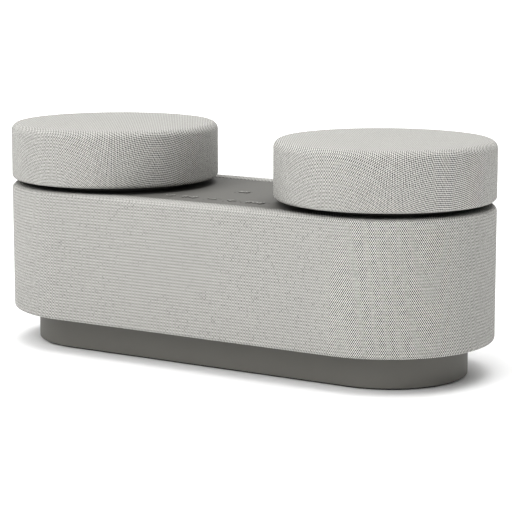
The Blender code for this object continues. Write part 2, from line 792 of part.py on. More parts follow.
def rim_surround_section(radius):
    """The radiator's roll, with a flat rim that is glued to the inside of the cabinet wall."""
    roll = surround_section(radius)
    crest = roll[: ROLL_STEPS + 1]
    under = roll[ROLL_STEPS + 1 :]
    rim = [(radius, -CONE_SKIN), (radius, -CONE_SKIN - 2 * SURROUND_SKIN)]
    return crest + rim + under


# ---- a satellite speaker, in the frame of its own empty: z = 0 is its underside ----
def make_satellite(side, sign):
    holder = bpy.data.objects.new(side + "_satellite", None)
    PARTS.objects.link(holder)
    holder.location = (sign * END_X, 0, SATELLITE_LOW)
    around = {"parent": holder, "steps": 2 * HALF_TURN_STEPS}

    cover = skin_profile(
        SATELLITE_RADIUS,
        0,
        SATELLITE_HEIGHT,
        SATELLITE_LOW_ROUND,
        SATELLITE_TOP_ROUND,
        SATELLITE_HEM,
        0,
        FABRIC,
    )
    turned(side + "_satellite_fabric", cover, KNIT, **around)

    frame_radius = SATELLITE_RADIUS - FABRIC - FIT
    frame_low = FABRIC + FIT
    frame_top = SATELLITE_HEIGHT - FABRIC - FIT
    grille = skin_profile(
        frame_radius,
        frame_low,
        frame_top,
        SATELLITE_LOW_ROUND - FABRIC - FIT,
        SATELLITE_TOP_ROUND - FABRIC - FIT,
        SATELLITE_HEM - FABRIC,
        0,
        FRAME_WALL,
    )
    grille = turned(side + "_satellite_grille", grille, BLACK, **around)
    reach = SATELLITE_DRIVER_RADIUS - FLANGE_RIM
    slot_length = reach * (1 - SLOT_HUB_SHARE)
    size = (slot_length, SLOT_WIDTH / 2, 4 * FRAME_WALL)
    for i in range(SATELLITE_SLOTS):
        turn = 2 * math.pi * i / SATELLITE_SLOTS
        middle = Matrix.Rotation(turn, 3, "Z") @ Vector((reach - slot_length / 2, 0, frame_top))
        place = {"parent": holder, "at": middle, "turn": (0, 0, turn)}
        combine(grille, block(f"{side}_grille_slot_{i}", size, None, **place), "DIFFERENCE")

    shell_radius = frame_radius - FRAME_WALL - WALL_GAP
    shelf = frame_low + FRAME_WALL + WALL_GAP
    baffle_top = frame_top - FRAME_WALL - ROOF_CLEARANCE
    shell_top = baffle_top - FLANGE - FIT
    pedestal = SATELLITE_RADIUS - SATELLITE_HEM - WALL_GAP
    well = pedestal - CABINET_WALL
    shell = [
        (0, 0),
        (pedestal, 0),
        (pedestal, shelf),
        (shell_radius, shelf),
        (shell_radius, shell_top),
        (shell_radius - CABINET_WALL, shell_top),
        (shell_radius - CABINET_WALL, shelf + CABINET_WALL),
        (well, shelf + CABINET_WALL),
        (well, CABINET_WALL),
        (0, CABINET_WALL),
    ]
    turned(side + "_satellite_shell", shell[::-1], BLACK, **around)

    foot_radius = DOCK_RADIUS - DOCK_CLEARANCE
    foot_low = DOCK_FLOOR + FIT - SATELLITE_LOW
    foot = [
        (0, -FIT),
        (foot_radius, -FIT),
        (foot_radius, foot_low + PLINTH_EDGE),
        (foot_radius - PLINTH_EDGE, foot_low),
        (0, foot_low),
    ]
    foot = turned(side + "_satellite_foot", foot, DARK_GREY, **around)
    pad = (CONTACT_BLOCK[0] - 2 * FIT, CONTACT_BLOCK[1] - 2 * FIT, CONTACT_BLOCK[2] / 2)
    inward = sign * (contact_x() - END_X)
    pocket_size = (pad[0] + 2 * FIT, pad[1] + 2 * FIT, 2 * (pad[2] + FIT))
    place = {"parent": holder, "at": (inward, 0, foot_low)}
    combine(foot, block(side + "_foot_pocket", pocket_size, None, **place), "DIFFERENCE")
    place["at"] = (inward, 0, foot_low + pad[2] / 2)
    block(side + "_satellite_contacts", pad, BRASS, **place)

    place = {"parent": holder, "at": (0, 0, baffle_top)}
    depth = SATELLITE_BASKET_DEPTH
    magnet_height = SATELLITE_MAGNET_HEIGHT
    driver = SATELLITE_DRIVER_RADIUS
    baffle = basket_section(driver, shell_radius, depth)
    turned(
        side + "_satellite_baffle", baffle, BLACK, ring=True, steps=2 * HALF_TURN_STEPS, **place
    )
    turned(side + "_satellite_magnet", magnet_section(depth, magnet_height), STEEL, **place)
    coil_end = -depth - FIT - magnet_height / 2
    cone = cone_section(driver, CONE_DEPTH, coil_end)
    turned(side + "_satellite_cone", cone, PAPER, **place)
    turned(side + "_satellite_surround", surround_section(driver), RUBBER, ring=True, **place)

    half_width = SATELLITE_BATTERY_WIDTH / 2
    outer_x = math.sqrt((well - FIT) ** 2 - half_width**2) - FIT
    inner_x = MAGNET_RADIUS + CABINET_WALL
    middle_x = (outer_x + inner_x) / 2
    length = outer_x - inner_x
    cell = (length, SATELLITE_BATTERY_WIDTH, SATELLITE_BATTERY_HEIGHT)
    cell_z = CABINET_WALL + FIT + SATELLITE_BATTERY_HEIGHT / 2
    place = {"parent": holder, "at": (sign * middle_x, 0, cell_z)}
    block(side + "_satellite_battery", cell, BLUE_FILM, corner=SATELLITE_BATTERY_CORNER, **place)
    place["at"] = (-sign * middle_x, 0, CABINET_WALL + BOARD_STANDOFF + BOARD / 2)
    size = (length, SATELLITE_BATTERY_WIDTH, BOARD)
    block(side + "_satellite_board", size, BOARD_GREEN, **place)


clear_scene()
PARTS = new_collection("smart_speaker")
CUTTERS = new_collection("cutters")

KNIT = finish_of("light_grey_knit", (0.49, 0.48, 0.45), 0.95)
MID_GREY = finish_of("mid_grey_plastic", (0.20, 0.20, 0.185), 0.55)
DARK_GREY = finish_of("dark_grey_plastic", (0.115, 0.112, 0.10), 0.6)
BLACK = finish_of("black_plastic", (0.02, 0.02, 0.02), 0.5)
RUBBER = finish_of("black_rubber", (0.03, 0.03, 0.03), 0.8)
STEEL = finish_of("plain_steel", (0.55, 0.55, 0.56), 0.35, 1.0)
BRASS = finish_of("gold_contact", (0.83, 0.62, 0.28), 0.3, 1.0)
PAPER = finish_of("cone_paper", (0.05, 0.05, 0.055), 0.85)
BOARD_GREEN = finish_of("board_green", (0.02, 0.16, 0.07), 0.45)
BLUE_FILM = finish_of("cell_film", (0.04, 0.14, 0.38), 0.4)

make_foot_pad()
make_plinth()
make_screws()
make_power_parts()
make_charging_socket()
make_cabinet()
make_cabinet_lid()
make_grille_frame()
make_fabric_sleeve()
make_control_panel()
make_keys()
make_control_board()
make_dock_parts()
make_front_drivers()
make_rear_radiators()
for SIDE, SIGN in SIDES:
    make_satellite(SIDE, SIGN)
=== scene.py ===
# %% [markdown]
# # A smart speaker with two lift-off satellites
# A long fabric-covered speaker stands on a smaller dark plinth. A flat grey control panel is let
# into its top, and two round satellite speakers, covered in the same knit, are docked on the
# panel's ends.
#
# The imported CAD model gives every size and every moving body. This script builds the looks on
# it: finer covers and mouldings where the surface is seen, and a procedural finish for every
# part.

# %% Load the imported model
import json
import math

import bmesh
import bpy
from mathutils import Matrix, Vector


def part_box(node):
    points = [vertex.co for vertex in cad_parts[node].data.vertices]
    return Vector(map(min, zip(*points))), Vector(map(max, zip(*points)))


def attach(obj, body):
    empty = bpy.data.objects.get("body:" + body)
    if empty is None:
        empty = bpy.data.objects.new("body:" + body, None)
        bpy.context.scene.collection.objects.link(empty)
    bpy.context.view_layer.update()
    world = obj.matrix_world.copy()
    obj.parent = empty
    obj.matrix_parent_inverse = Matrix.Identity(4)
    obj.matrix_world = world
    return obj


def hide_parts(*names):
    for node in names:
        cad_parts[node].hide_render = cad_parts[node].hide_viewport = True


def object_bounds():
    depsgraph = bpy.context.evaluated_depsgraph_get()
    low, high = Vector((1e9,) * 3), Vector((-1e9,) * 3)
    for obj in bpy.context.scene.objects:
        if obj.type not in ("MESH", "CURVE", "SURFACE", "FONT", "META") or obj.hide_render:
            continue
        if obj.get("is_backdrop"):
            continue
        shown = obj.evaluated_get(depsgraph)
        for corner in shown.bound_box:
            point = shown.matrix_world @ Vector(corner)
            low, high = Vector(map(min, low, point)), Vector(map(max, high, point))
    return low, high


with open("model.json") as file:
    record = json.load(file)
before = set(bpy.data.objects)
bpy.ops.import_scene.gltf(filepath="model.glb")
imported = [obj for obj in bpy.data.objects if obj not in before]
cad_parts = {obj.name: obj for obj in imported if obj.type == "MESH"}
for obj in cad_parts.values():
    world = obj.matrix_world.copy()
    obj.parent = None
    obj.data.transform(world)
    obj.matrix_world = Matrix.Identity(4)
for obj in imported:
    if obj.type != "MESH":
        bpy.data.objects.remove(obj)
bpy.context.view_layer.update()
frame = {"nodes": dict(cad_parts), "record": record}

# %% [markdown]
# ## Small tools for meshes
# Almost every shape below is drawn in a bmesh, which is a mesh under construction. A few short
# calls take it from there: into a mesh, onto an object in the scene, or into another bmesh. One
# more sets the shading, so that a rounded wall looks round and a real edge stays crisp.


# %% Mesh helpers
def mesh_from(bm, name):
    """Turns a bmesh into a mesh and frees it."""
    mesh = bpy.data.meshes.new(name)
    bm.to_mesh(mesh)
    bm.free()
    return mesh


def add_object(name, data):
    made = bpy.data.objects.new(name, data)
    bpy.context.scene.collection.objects.link(made)
    return made


def absorb(bm, other):
    """Moves everything in the other bmesh into bm."""
    mesh = mesh_from(other, "absorbed")
    bm.from_mesh(mesh)
    bpy.data.meshes.remove(mesh)


def only(kind, geometry):
    """The verts, edges or faces in what a bmesh operator gives back."""
    return [item for item in geometry if isinstance(item, kind)]


def shade(mesh, sharp):
    """Smooth shading, but for edges that turn by more than sharp degrees."""
    mesh.shade_smooth()
    mesh.set_sharp_from_angle(angle=math.radians(sharp))


PLASTIC_SHARP, CLOTH_SHARP = 35, 60

# %% [markdown]
# ## Sizes that the covers and mouldings share
# The speaker has a racetrack outline: two half circles joined by straights. A CAD part's box
# gives its outline at once, because its depth is twice the end radius, and what is left of its
# length is the straight. Reading sizes from the model keeps the looks right if the design
# changes.


# %% Read the outlines from the model
def outline(node):
    """Half the straight's length, the end radius, and the lowest and highest point of a part."""
    low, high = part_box(node)
    radius = (high.y - low.y) / 2
    return (high.x - low.x) / 2 - radius, radius, low.z, high.z


END_X, BODY_RADIUS, BODY_LOW, BODY_TOP = outline("fabric_sleeve")
PLINTH_X, PLINTH_RADIUS, PLINTH_LOW, PLINTH_TOP = outline("plinth")
PAD_X, PAD_RADIUS, PAD_LOW, PAD_TOP = outline("rubber_foot_pad")
_, PANEL_RADIUS, _, PANEL_TOP = outline("control_panel")
_, SATELLITE_RADIUS, SATELLITE_LOW, SATELLITE_TOP = outline("left_satellite_fabric")
SIDES = (("left", -1), ("right", 1))
print("body radius", round(BODY_RADIUS, 4), "satellite radius", round(SATELLITE_RADIUS, 4))

# %% [markdown]
# ## The camera
# The camera stands a little above the speaker and to its right, far enough away that the speaker
# looks almost free of perspective. A long lens at 1.1 m does the same as a product
# photographer's telephoto. The direction is built from two angles, so each can be nudged on its
# own.

# %% Place the camera
camera_data = bpy.data.cameras.new("camera")
camera_data.sensor_width = 36.0
camera_data.lens = 135.34
camera_data.shift_x = -0.0133
camera_data.shift_y = -0.0518
camera = add_object("camera", camera_data)
yaw, pitch = math.radians(31.804), math.radians(8.955)
forward = Vector(
    (-math.sin(yaw) * math.cos(pitch), math.cos(yaw) * math.cos(pitch), -math.sin(pitch))
)
camera.location = (0.5879, -0.9280, 0.2456)
camera.rotation_euler = forward.to_track_quat("-Z", "Y").to_euler()
bpy.context.scene.camera = camera
print("camera", [round(c, 3) for c in camera.location])

# %% [markdown]
# ## Small tools for node trees
# Every finish below is built from maths nodes, so a few one-line tools keep the graphs readable:
# one adds a node and wires its inputs, one does arithmetic, and one starts a node group with
# named sockets.


# %% Node helpers
class Graph:
    """A node tree with short calls for adding and wiring nodes."""

    def __init__(self, tree):
        self.tree = tree

    def add(self, kind, inputs=None, **settings):
        node = self.tree.nodes.new(kind)
        for key, value in settings.items():
            setattr(node, key, value)
        for key, value in (inputs or {}).items():
            if isinstance(value, bpy.types.NodeSocket):
                self.tree.links.new(value, node.inputs[key])
            else:
                node.inputs[key].default_value = value
        return node

    def maths(self, operation, *values, clamp=False):
        inputs = dict(enumerate(values))
        return self.add("ShaderNodeMath", inputs, operation=operation, use_clamp=clamp).outputs[0]

    def smooth(self, value, low, high):
        """0 below low, 1 above high and an S curve between them."""
        inputs = {"Value": value, "From Min": low, "From Max": high}
        node = self.add("ShaderNodeMapRange", inputs, interpolation_type="SMOOTHSTEP")
        return node.outputs["Result"]

    def between(self, value, low, high):
        """Takes a value from 0 to 1 over to the range from low to high."""
        inputs = {"Value": value, "To Min": low, "To Max": high}
        return self.add("ShaderNodeMapRange", inputs).outputs["Result"]

    def noise(self, vector, scale, detail=3.0, roughness=0.55):
        inputs = {"Vector": vector, "Scale": scale, "Detail": detail, "Roughness": roughness}
        return self.add("ShaderNodeTexNoise", inputs).outputs["Fac"]

    def mix(self, factor, first, second):
        inputs = {0: factor, 6: first, 7: second}
        return self.add("ShaderNodeMix", inputs, data_type="RGBA").outputs[2]


def start_group(name, inputs, outputs):
    """A shader node group with float or vector inputs and outputs, and its two end nodes."""
    tree = bpy.data.node_groups.new(name, "ShaderNodeTree")
    for label, kind, value in inputs:
        socket = tree.interface.new_socket(name=label, in_out="INPUT", socket_type=kind)
        if value is not None:
            socket.default_value = value
    for label, kind in outputs:
        tree.interface.new_socket(name=label, in_out="OUTPUT", socket_type=kind)
    graph = Graph(tree)
    return graph, graph.add("NodeGroupInput").outputs, graph.add("NodeGroupOutput").inputs


VECTOR, FLOAT = "NodeSocketVector", "NodeSocketFloat"

# %% [markdown]
# ## Floor and light
# A product stands on a seamless white sweep under big soft boxes. The floor is one large pale
# disc. Near the speaker it takes real light and real shadow. Further out it gives a little light
# of its own, as a sweep does that has lamps aimed at it, so that it stays white to the horizon.
# A distance from the middle of the disc, worked out in the material, tells the two apart. The
# disc lies a hair under the rubber pad, because two faces in one plane would flicker.


# %% Lay the floor
def shader_material(name):
    made = bpy.data.materials.new(name)
    made.use_nodes = True
    return made, made.node_tree.nodes["Principled BSDF"]


FLOOR_RADIUS, FLOOR_DROP = 9.0, 0.00005
GLOW_FROM, GLOW_TO, GLOW_MOST = 0.5, 2.2, 0.8

floor_bm = bmesh.new()
bmesh.ops.create_circle(
    floor_bm,
    cap_ends=True,
    segments=96,
    radius=FLOOR_RADIUS,
    matrix=Matrix.Translation((0, 0, -FLOOR_DROP)),
)
floor = add_object("studio_floor", mesh_from(floor_bm, "studio_floor"))
pale, pale_shader = shader_material("pale_floor")
pale_graph = Graph(pale.node_tree)
from_middle = pale_graph.add(
    "ShaderNodeVectorMath",
    {0: pale_graph.add("ShaderNodeTexCoord").outputs["Object"]},
    operation="LENGTH",
).outputs["Value"]
glow = pale_graph.between(pale_graph.smooth(from_middle, GLOW_FROM, GLOW_TO), 0.0, GLOW_MOST)
pale.node_tree.links.new(
    pale_graph.mix(glow, (0, 0, 0, 1), (1, 1, 1, 1)), pale_shader.inputs["Emission Color"]
)
pale_shader.inputs["Emission Strength"].default_value = 1.0
pale_shader.inputs["Base Color"].default_value = (0.93, 0.93, 0.93, 1)
pale_shader.inputs["Roughness"].default_value = 0.9
pale_shader.inputs["Specular IOR Level"].default_value = 0.0
floor.data.materials.append(pale)
floor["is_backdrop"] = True
print("floor disc", 2 * FLOOR_RADIUS, "m across")

# %% [markdown]
# ## Four soft boxes and a white room
# The key hangs above the front left, so the tops and the long front are brightest and the right-
# hand sides fall off. A second box, as strong and lower, stands in front and fills the round end
# that faces the camera. One overhead lights the tops, and one behind rims the far edges and
# brightens the panel. The room itself is white to the eye, but gives only a weak light, or the
# shadows would fill in.


# %% Hang the lights
AIM = Vector((0, 0, 0.06))
ROOM_LIGHT, ROOM_SEEN = 0.33, 1.05


def soft_box(name, at, size, power):
    data = bpy.data.lights.new(name, "AREA")
    data.shape = "RECTANGLE"
    data.size, data.size_y = size
    data.energy = power
    light = add_object(name, data)
    light.location = at
    light.rotation_euler = (AIM - Vector(at)).to_track_quat("-Z", "Y").to_euler()


soft_box("key_box", (-0.9, -1.5, 2.0), (1.8, 1.4), 27)
soft_box("top_box", (0.0, 0.0, 2.4), (2.4, 1.8), 53)
soft_box("front_box", (0.15, -2.1, 1.6), (1.8, 1.4), 27)
soft_box("back_box", (0.0, 2.6, 2.6), (3.0, 1.6), 44)

room = bpy.data.worlds.new("white_room")
room.use_nodes = True
room_graph = Graph(room.node_tree)
seen = room_graph.add("ShaderNodeLightPath").outputs["Is Camera Ray"]
sky = room.node_tree.nodes["Background"].inputs
room.node_tree.links.new(room_graph.between(seen, ROOM_LIGHT, ROOM_SEEN), sky["Strength"])
sky["Color"].default_value = (1, 1, 1, 1)
bpy.context.scene.world = room
bpy.context.scene.view_settings.view_transform = "Standard"

# %% [markdown]
# ## The open knit
# The cover is a stretched technical knit: rows of loops with a small dark hole between them,
# each row shifted by half a loop. Two cosines multiplied together give exactly that staggered
# lattice, with 1 in the middle of each hole and -1 on the crossings of the yarn. Every second
# row of a rib knit is pulled wider, which is what reads as fine level lines from further away. A
# random number for each hole makes some of them a little larger than others, and lets about one
# in fourteen gape, as uneven yarn does.
#
# An S curve over the lattice draws the holes. A narrow one gives crisp openings, as in cloth
# that is stretched hard, and a wide one gives loops that have all but closed. The group works on
# cloth coordinates in metres, which each cover carries as its UV map, so one group serves every
# cover.

# %% Build the knit group
GAPES_FROM, GAPES_FULLY = 0.90, 0.96
FUZZ_SCALE, FUZZ_HEIGHT = 5200.0, 0.1
STREAKS = (40.0, 900.0, 1.0)

knit, knit_in, knit_out = start_group(
    "open_knit",
    (
        ("Cloth", VECTOR, None),
        ("Columns", FLOAT, 1000.0),
        ("Rows", FLOAT, 1124.0),
        ("Rib", FLOAT, 0.2),
        ("Uneven", FLOAT, 0.12),
        ("Closed", FLOAT, 0.3),
        ("Gaping", FLOAT, 1.0),
    ),
    (("Hole", FLOAT), ("Height", FLOAT), ("Tone", FLOAT)),
)
cloth = knit.add("ShaderNodeSeparateXYZ", {0: knit_in["Cloth"]}).outputs
column = knit.maths("MULTIPLY", cloth["X"], knit_in["Columns"])
row = knit.maths("MULTIPLY", cloth["Y"], knit_in["Rows"])
across = knit.maths("COSINE", knit.maths("MULTIPLY", column, 2 * math.pi))
along = knit.maths("COSINE", knit.maths("MULTIPLY", row, math.pi))
lattice = knit.maths("MULTIPLY", across, along)

row_number = knit.maths("ROUND", row)
half_step = knit.maths("MULTIPLY", knit.maths("PINGPONG", row_number, 1.0), 0.5)
column_number = knit.maths("ROUND", knit.maths("SUBTRACT", column, half_step))
hole_place = knit.add("ShaderNodeCombineXYZ", {"X": column_number, "Y": row_number}).outputs[0]
chance = knit.add("ShaderNodeTexWhiteNoise", {"Vector": hole_place}, noise_dimensions="2D")
uneven = knit.maths("SUBTRACT", chance.outputs["Value"], 0.5)
gaping = knit.smooth(chance.outputs["Value"], GAPES_FROM, GAPES_FULLY)

opening = knit.maths("MULTIPLY_ADD", along, knit_in["Rib"], lattice)
opening = knit.maths("MULTIPLY_ADD", uneven, knit_in["Uneven"], opening)
shut = knit.maths("MULTIPLY", knit_in["Closed"], -1.0)
plain_hole = knit.smooth(opening, shut, knit_in["Closed"])
gaping = knit.maths("MULTIPLY", gaping, knit_in["Gaping"])
gap = knit.maths("MULTIPLY", gaping, knit.smooth(lattice, -0.3, 0.3))
knit.tree.links.new(knit.maths("MAXIMUM", plain_hole, gap), knit_out["Hole"])

fuzz = knit.noise(knit_in["Cloth"], FUZZ_SCALE, 2.0)
raised = knit.maths("MULTIPLY_ADD", lattice, -0.5, 0.5)
knit.tree.links.new(knit.maths("MULTIPLY_ADD", fuzz, FUZZ_HEIGHT, raised), knit_out["Height"])
streaks = knit.add("ShaderNodeVectorMath", {0: knit_in["Cloth"], 1: STREAKS}, operation="MULTIPLY")
knit.tree.links.new(knit.noise(streaks.outputs[0], 1.0, 2.0), knit_out["Tone"])
print("open_knit has", len(knit.tree.nodes), "nodes")


# %% [markdown]
# ## The knit finish
# The yarn is a warm light grey. Its holes show the dark frame behind, and their colour is darker
# than that plastic: it is partly the frame and partly painted shade inside the cover. The group's
# outputs only choose between those two colours and raise the yarn, and the cloth's sheen is set on
# the shader itself. Round the ends of the long body the cloth is pulled wider than on its straight
# sides, and on a satellite the wall is pulled wider than the top. The loops stand open there, so
# the material works out how far a point is along the body, or how far from the middle of the cap.


# %% Make the knit materials
OPEN_WHERE_PULLED = 0.3
YARN_DARK, YARN_LIGHT = (0.598, 0.592, 0.558, 1), (0.714, 0.706, 0.667, 1)
# The holes' colour: the dark frame behind, made darker still by painted shade inside the cover.
HOLE_FRAME_AND_SHADE = (0.020, 0.0195, 0.018, 1)
YARN_RELIEF = 0.0003


def knit_material(name, columns, rows, opens_at, opens_over, slack, gaping, along_body):
    """A knit whose loops open past opens_at, measured along the body or from a cap's middle."""
    made, shader = shader_material(name)
    graph = Graph(made.node_tree)
    cloth_map = graph.add("ShaderNodeUVMap", uv_map="cloth").outputs[0]
    if along_body:
        place = graph.add("ShaderNodeTexCoord").outputs["Object"]
        way = graph.add("ShaderNodeSeparateXYZ", {0: place}).outputs["X"]
        from_middle = graph.maths("ABSOLUTE", way)
    else:
        spoke = graph.add("ShaderNodeVectorMath", {0: cloth_map}, operation="LENGTH")
        from_middle = spoke.outputs["Value"]
    pulled = graph.smooth(from_middle, opens_at - opens_over, opens_at + opens_over)
    closed = graph.between(pulled, slack, OPEN_WHERE_PULLED)
    inputs = {
        "Cloth": cloth_map,
        "Columns": columns,
        "Rows": rows,
        "Closed": closed,
        "Gaping": gaping,
    }
    weave = graph.add("ShaderNodeGroup", inputs, node_tree=knit.tree)
    yarn = graph.mix(weave.outputs["Tone"], YARN_DARK, YARN_LIGHT)
    # Holes take the frame's dark colour together with the painted shade inside the cover.
    colour = graph.mix(weave.outputs["Hole"], yarn, HOLE_FRAME_AND_SHADE)
    relief = {"Height": weave.outputs["Height"], "Strength": 0.5, "Distance": YARN_RELIEF}
    bump = graph.add("ShaderNodeBump", relief)
    made.node_tree.links.new(colour, shader.inputs["Base Color"])
    made.node_tree.links.new(bump.outputs[0], shader.inputs["Normal"])
    shader.inputs["Roughness"].default_value = 0.9
    shader.inputs["Specular IOR Level"].default_value = 0.2
    shader.inputs["Sheen Weight"].default_value = 0.06
    shader.inputs["Sheen Roughness"].default_value = 0.5
    return made


# %% [markdown]
# ## Sweeping a section round the racetrack
# Each long part has one section all the way round, as a moulding or a cut cloth tube does. A few
# corner points make the section. A vertex bevel rounds the corners that need it. Spin carries
# the section round one end, a plain extrude runs both open ends to the middle, and Mirror makes
# the other half. That is far fewer decisions than drawing a path curve, and every vertex keeps
# its place along the section, which the cloth pattern needs.

# %% Section and sweep helpers
STEPS, ROUND_STEPS = 64, 6
MERGE = 1e-6


def section_wire(bm, corners, centre_x=0.0):
    """A wire through (radius, height, round) corners, on the front side of a turning centre.

    Each vertex is given its distance along the wire, and the whole length is given back.
    """
    made = [bm.verts.new((centre_x, -radius, height)) for radius, height, _ in corners]
    for first, second in zip(made, made[1:]):
        bm.edges.new((first, second))
    for vert, (_, _, size) in zip(made, corners):
        if size:
            bmesh.ops.bevel(
                bm,
                geom=[vert],
                offset=size,
                segments=ROUND_STEPS,
                profile=0.5,
                affect="VERTICES",
                material=-1,
            )
    run_layer = bm.verts.layers.float.new("run")
    start = Vector((centre_x, -corners[0][0], corners[0][1]))
    ends = [v for v in bm.verts if len(v.link_edges) == 1]
    vert = min(ends, key=lambda v: (v.co - start).length)
    run, previous = 0.0, None
    while vert:
        vert[run_layer] = run
        onward = [e.other_vert(vert) for e in vert.link_edges if e.other_vert(vert) != previous]
        if onward:
            run += (onward[0].co - vert.co).length
        previous, vert = vert, onward[0] if onward else None
    return run


def tidy(bm):
    bmesh.ops.remove_doubles(bm, verts=bm.verts, dist=MERGE)
    bmesh.ops.recalc_face_normals(bm, faces=bm.faces)


def sweep_racetrack(bm, end_x, steps=STEPS):
    """Carries the wire in bm round the right end, out to the middle, and over to the left."""
    front = bm.edges[:]
    swept = bmesh.ops.spin(
        bm,
        geom=bm.verts[:] + front,
        cent=(end_x, 0, 0),
        axis=(0, 0, 1),
        angle=math.pi,
        steps=steps,
    )
    back = only(bmesh.types.BMEdge, swept["geom_last"])
    for edges in (front, back):
        drawn = bmesh.ops.extrude_edge_only(bm, edges=edges)
        moved = only(bmesh.types.BMVert, drawn["geom"])
        bmesh.ops.translate(bm, verts=moved, vec=(-end_x, 0, 0))
    half = bm.verts[:] + bm.edges[:] + bm.faces[:]
    bmesh.ops.mirror(bm, geom=half, axis="X", merge_dist=MERGE)
    tidy(bm)


def turn_round(bm, centre=(0, 0, 0), steps=2 * STEPS):
    """Turns the wire in bm all the way round a vertical axis."""
    bmesh.ops.spin(
        bm,
        geom=bm.verts[:] + bm.edges[:],
        cent=centre,
        axis=(0, 0, 1),
        angle=2 * math.pi,
        steps=steps,
        use_merge=True,
    )
    tidy(bm)


def go_round(bm, straight, steps):
    """Sweeps the wire round a racetrack, or round a circle where there is no straight."""
    if straight:
        sweep_racetrack(bm, straight, steps // 2)
    else:
        turn_round(bm, steps=steps)


def finished(name, bm, material, body, replaces, sharp=PLASTIC_SHARP):
    """Makes the object, smooths it, gives it its finish and hangs it on its body."""
    mesh = mesh_from(bm, name)
    mesh.materials.append(material)
    shade(mesh, sharp)
    piece = add_object(name, mesh)
    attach(piece, body)
    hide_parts(*replaces)
    print(name, len(mesh.polygons), "faces")
    return piece


# %% [markdown]
# ## The long knit sleeve
# The cover is a tube of knit, pulled over a frame and folded in over the top and underneath. Its
# section starts at the hem beside the control panel, goes out over the soft top edge, down the
# wall, round the lower edge and in under the body. The cloth's map unrolls it: along is the
# distance round the outline, a little less at the ends, where the cloth is pulled wider, and up
# is the distance along the section. The number of columns is a whole number, so the pattern
# meets itself at the seam in the back.


# %% Unroll and build the sleeve
FABRIC = 0.0012
SLEEVE_COLUMNS, SLEEVE_ROWS = 1000, 1124.0
END_PULL = 0.872
SLEEVE_CUT = 4 * END_X + 2 * math.pi * BODY_RADIUS * END_PULL
COLUMNS = round(SLEEVE_CUT * SLEEVE_COLUMNS)
TOP_HEM, LOW_HEM = 0.0135, 0.0100
TOP_ROUND, LOW_ROUND = 0.0027, 0.0020


def distance_round(x, y, left):
    """How far round the cut cloth a point is from the front's middle, negative on the left."""
    x = abs(x)
    if x > END_X:
        way = END_X + BODY_RADIUS * END_PULL * math.atan2(x - END_X, -y)
    else:
        way = x if y < 0 else 2 * END_X + math.pi * BODY_RADIUS * END_PULL - x
    return -way if left else way


def unroll_racetrack(bm):
    run_layer = bm.verts.layers.float["run"]
    cloth_layer = bm.loops.layers.uv.new("cloth")
    for face in bm.faces:
        left = face.calc_center_median().x < 0
        for loop in face.loops:
            x, y, _ = loop.vert.co
            loop[cloth_layer].uv = (distance_round(x, y, left), loop.vert[run_layer])


def sleeve_corners(proud):
    """The sleeve's section, held proud of the cloth's face by a small distance."""
    return (
        (BODY_RADIUS - TOP_HEM, BODY_TOP + proud, 0),
        (BODY_RADIUS + proud, BODY_TOP + proud, TOP_ROUND),
        (BODY_RADIUS + proud, BODY_LOW - proud, LOW_ROUND),
        (BODY_RADIUS - LOW_HEM, BODY_LOW - proud, 0),
    )


sleeve_bm = bmesh.new()
sleeve_run = section_wire(sleeve_bm, sleeve_corners(0.0), END_X)
sweep_racetrack(sleeve_bm, END_X)
unroll_racetrack(sleeve_bm)
sleeve_knit = knit_material(
    "sleeve_knit",
    COLUMNS / SLEEVE_CUT,
    SLEEVE_ROWS,
    opens_at=END_X,
    opens_over=0.009,
    slack=1.2,
    gaping=1.0,
    along_body=True,
)
sleeve = finished(
    "knit_sleeve",
    sleeve_bm,
    sleeve_knit,
    "speaker_body",
    ["fabric_sleeve"],
    CLOTH_SHARP,
)


def give_thickness(piece, thickness):
    wall = piece.modifiers.new("cloth thickness", "SOLIDIFY")
    wall.thickness = thickness
    wall.offset = -1.0


give_thickness(sleeve, FABRIC)

# %% [markdown]
# ## The seam down the back
# A tube of cloth is closed by one seam, and it goes where nobody looks: down the middle of the
# back. The two edges are turned in and pressed flat under a narrow band, and a row of stitches
# runs down each side of it. The band is the sleeve's own section, drawn a hair proud and
# extruded sideways. A stitch is one small flattened ball, and copies of it step down the band.

# %% Sew the seam
SEAM_WIDTH, SEAM_PROUD = 0.0030, 0.00025
STITCH_PITCH, STITCH_LENGTH, STITCH_ROUND = 0.0025, 0.0018, 0.0004
STITCH_INSET, STITCH_MARGIN = 0.0006, 0.004
seam_bm = bmesh.new()
section_wire(seam_bm, sleeve_corners(SEAM_PROUD))
unroll = seam_bm.verts.layers.float["run"]
drawn = bmesh.ops.extrude_edge_only(seam_bm, edges=seam_bm.edges[:])
other_side = only(bmesh.types.BMVert, drawn["geom"])
bmesh.ops.translate(seam_bm, verts=other_side, vec=(SEAM_WIDTH, 0, 0))
bmesh.ops.translate(seam_bm, verts=seam_bm.verts, vec=(-SEAM_WIDTH / 2, 0, 0))
bmesh.ops.recalc_face_normals(seam_bm, faces=seam_bm.faces)
if sum((face.normal.y < 0) - (face.normal.y > 0) for face in seam_bm.faces) < 0:
    bmesh.ops.reverse_faces(seam_bm, faces=seam_bm.faces)
seam_map = seam_bm.loops.layers.uv.new("cloth")
for face in seam_bm.faces:
    for loop in face.loops:
        loop[seam_map].uv = (loop.vert.co.x, loop.vert[unroll])
stitches = int((BODY_TOP - BODY_LOW - 2 * STITCH_MARGIN) / STITCH_PITCH)
for column_at in (-SEAM_WIDTH / 2 + STITCH_INSET, SEAM_WIDTH / 2 - STITCH_INSET):
    for number in range(stitches):
        height = BODY_LOW + STITCH_MARGIN + (number + 0.5) * STITCH_PITCH
        place = Matrix.Translation((column_at, -BODY_RADIUS - SEAM_PROUD, height))
        shape = Matrix.Diagonal((STITCH_ROUND, STITCH_ROUND, STITCH_LENGTH, 1))
        bmesh.ops.create_uvsphere(
            seam_bm, u_segments=8, v_segments=6, radius=0.5, matrix=place @ shape
        )
